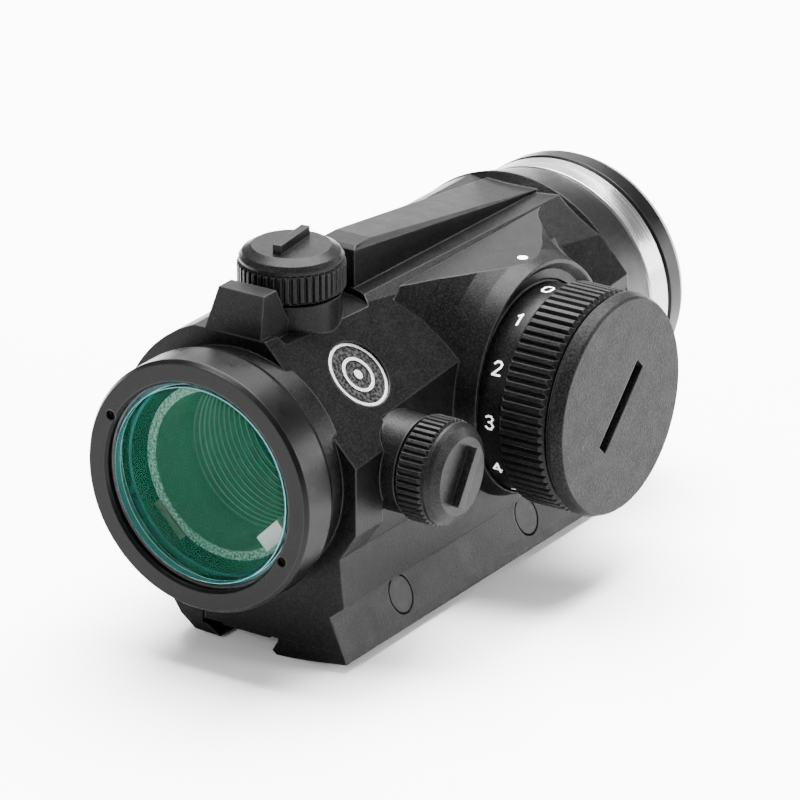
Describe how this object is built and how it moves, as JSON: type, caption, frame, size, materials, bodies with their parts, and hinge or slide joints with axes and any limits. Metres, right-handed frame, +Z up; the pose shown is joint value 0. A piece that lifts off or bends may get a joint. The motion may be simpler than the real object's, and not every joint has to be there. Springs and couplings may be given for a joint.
{
  "type": "red dot sight",
  "caption": "Compact black tube red dot sight with capped turrets, a side brightness dial, silver objective ring and a clamp for a dovetail rail.",
  "frame": {"origin": "on the rail seat, the ceiling of the clamp groove, on the centre plane at mid length of the base", "axes": "+X along the optical axis from the eye end to the target end, +Z up, the dial and windage turret face -Y"},
  "size_m": [0.083, 0.0451, 0.0479],
  "materials": {
    "body_black": "satin black anodised, fine blast",
    "ring_black": "satin black anodised, turned",
    "cap_black": "satin black anodised, knurled",
    "cover_black": "satin black anodised, fine blast",
    "tube_black": "matte, frosted front lip",
    "nut_black": "black oxide",
    "screw_black": "black oxide",
    "silver_ring": "bright turned",
    "emblem_metal": "stippled with bright rims",
    "white_paint": "matte paint",
    "seal_rubber": "matte",
    "green_glass": "green anti reflection coat",
    "clear_glass": "anti reflection coat",
    "lens_glass": "red reflecting dichroic coat",
    "steel": "turned",
    "emitter_plastic": "frosted",
    "led_red": "clear red",
    "flex_amber": "polyimide",
    "spring_bronze": "rolled bronze strip",
    "drum_brass": "turned brass",
    "board_green": "solder mask",
    "cell_steel": "nickel plated can"
  },
  "bodies": {
    "sight_body": {"housing": "body_black", "guard_emblem": "emblem_metal", "index_dot": "white_paint", "ocular_ring": "ring_black", "ocular_oring": "seal_rubber", "ocular_window": "green_glass", "accent_ring": "silver_ring", "objective_ring": "ring_black", "objective_oring": "seal_rubber", "objective_window": "clear_glass", "gimbal_yaw_pins": "steel", "return_leaf": "spring_bronze", "leaf_screw": "steel", "elevation_retainer": "ring_black", "windage_retainer": "ring_black", "switch_board": "board_green", "dial_screw": "steel", "detent_ball": "steel", "detent_spring": "steel", "fixed_jaw": "body_black", "clamp_guide_pins": "steel", "clamp_nuts": "nut_black"},
    "gimbal": {"gimbal_ring": "steel"},
    "optic_tube": {"inner_tube": "tube_black", "reflex_lens_rear": "lens_glass", "reflex_lens_front": "lens_glass", "lens_lock_ring": "ring_black", "gimbal_pitch_pins": "steel", "emitter_block": "emitter_plastic", "led_emitter": "led_red", "led_lead": "flex_amber"},
    "elevation_adjuster": {"elevation_drum": "drum_brass"},
    "elevation_pusher": {"elevation_plunger": "steel", "elevation_oring": "seal_rubber"},
    "windage_adjuster": {"windage_drum": "drum_brass"},
    "windage_pusher": {"windage_plunger": "steel", "windage_oring": "seal_rubber"},
    "elevation_seal": {"elevation_gasket": "seal_rubber"},
    "elevation_cover": {"elevation_cap": "cap_black"},
    "windage_seal": {"windage_gasket": "seal_rubber"},
    "windage_cover": {"windage_cap": "cap_black"},
    "dial": {"dial_knob": "cap_black", "dial_numerals": "white_paint", "dial_oring": "seal_rubber", "coin_cell": "cell_steel", "cell_contact": "drum_brass"},
    "cover_seal": {"cover_oring": "seal_rubber"},
    "dial_cover": {"battery_cover": "cover_black"},
    "jaw": {"clamp_bar": "body_black", "jaw_lip": "body_black"},
    "screw_near": {"clamp_screw_near": "screw_black"},
    "screw_far": {"clamp_screw_far": "screw_black"}
  },
  "joints": [
    {"name": "tube_yaw", "type": "hinge", "parent": "sight_body", "child": "gimbal", "pos_m": [0.026, 0, 0.0213], "axis": [0, 0, 1], "range_deg": [-0.35, 0.35]},
    {"name": "tube_pitch", "type": "hinge", "parent": "gimbal", "child": "optic_tube", "pos_m": [0.026, 0, 0.0213], "axis": [0, 1, 0], "range_deg": [-0.35, 0.35]},
    {"name": "elevation_turn", "type": "hinge", "parent": "sight_body", "child": "elevation_adjuster", "pos_m": [-0.0173, 0, 0.0393], "axis": [0, 0, 1], "range_deg": [-180.5, 180.5]},
    {"name": "elevation_travel", "type": "slide", "parent": "sight_body", "child": "elevation_pusher", "axis": [0, 0, 1], "range_m": [-0.00025, 0.00025]},
    {"name": "windage_turn", "type": "hinge", "parent": "sight_body", "child": "windage_adjuster", "pos_m": [-0.0173, -0.018, 0.0213], "axis": [0, -1, 0], "range_deg": [-180.5, 180.5]},
    {"name": "windage_travel", "type": "slide", "parent": "sight_body", "child": "windage_pusher", "axis": [0, -1, 0], "range_m": [-0.00025, 0.00025]},
    {"name": "elevation_cap_lift", "type": "slide", "parent": "sight_body", "child": "elevation_seal", "axis": [0, 0, 1], "range_m": [0, 0.00275]},
    {"name": "elevation_cap_turn", "type": "hinge", "parent": "elevation_seal", "child": "elevation_cover", "pos_m": [-0.0173, 0, 0.0413], "axis": [0, 0, 1], "range_deg": [0, 1981]},
    {"name": "windage_cap_lift", "type": "slide", "parent": "sight_body", "child": "windage_seal", "axis": [0, -1, 0], "range_m": [0, 0.00275]},
    {"name": "windage_cap_turn", "type": "hinge", "parent": "windage_seal", "child": "windage_cover", "pos_m": [-0.0173, -0.02, 0.0213], "axis": [0, -1, 0], "range_deg": [0, 1981]},
    {"name": "dial_turn", "type": "hinge", "parent": "sight_body", "child": "dial", "pos_m": [0.0104, -0.018, 0.0213], "axis": [0, 1, 0], "range_deg": [0, 330]},
    {"name": "cover_lift", "type": "slide", "parent": "dial", "child": "cover_seal", "axis": [0, -1, 0], "range_m": [0, 0.001]},
    {"name": "cover_turn", "type": "hinge", "parent": "cover_seal", "child": "dial_cover", "pos_m": [0.0104, -0.026, 0.0213], "axis": [0, -1, 0], "range_deg": [0, 721]},
    {"name": "jaw_slide", "type": "slide", "parent": "sight_body", "child": "jaw", "axis": [0, 1, 0], "range_m": [0, 0.0026]},
    {"name": "screw_near_turn", "type": "hinge", "parent": "jaw", "child": "screw_near", "pos_m": [-0.01435, 0.006, 0.00275], "axis": [0, 1, 0], "range_deg": [0, 1873]},
    {"name": "screw_far_turn", "type": "hinge", "parent": "jaw", "child": "screw_far", "pos_m": [0.01295, 0.006, 0.00275], "axis": [0, 1, 0], "range_deg": [0, 1873]}
  ],
  "couplings": [
    {"joint": "elevation_turn", "follows": "elevation_travel", "rad_per_m": 12566},
    {"joint": "tube_pitch", "follows": "elevation_travel", "rad_per_m": 23.095},
    {"joint": "windage_turn", "follows": "windage_travel", "rad_per_m": 12566},
    {"joint": "tube_yaw", "follows": "windage_travel", "rad_per_m": 23.095},
    {"joint": "elevation_cap_turn", "follows": "elevation_cap_lift", "rad_per_m": 12566},
    {"joint": "windage_cap_turn", "follows": "windage_cap_lift", "rad_per_m": 12566},
    {"joint": "cover_turn", "follows": "cover_lift", "rad_per_m": 12566},
    {"joint": "screw_near_turn", "follows": "jaw_slide", "rad_per_m": 12566},
    {"joint": "screw_far_turn", "follows": "jaw_slide", "rad_per_m": 12566}
  ]
}
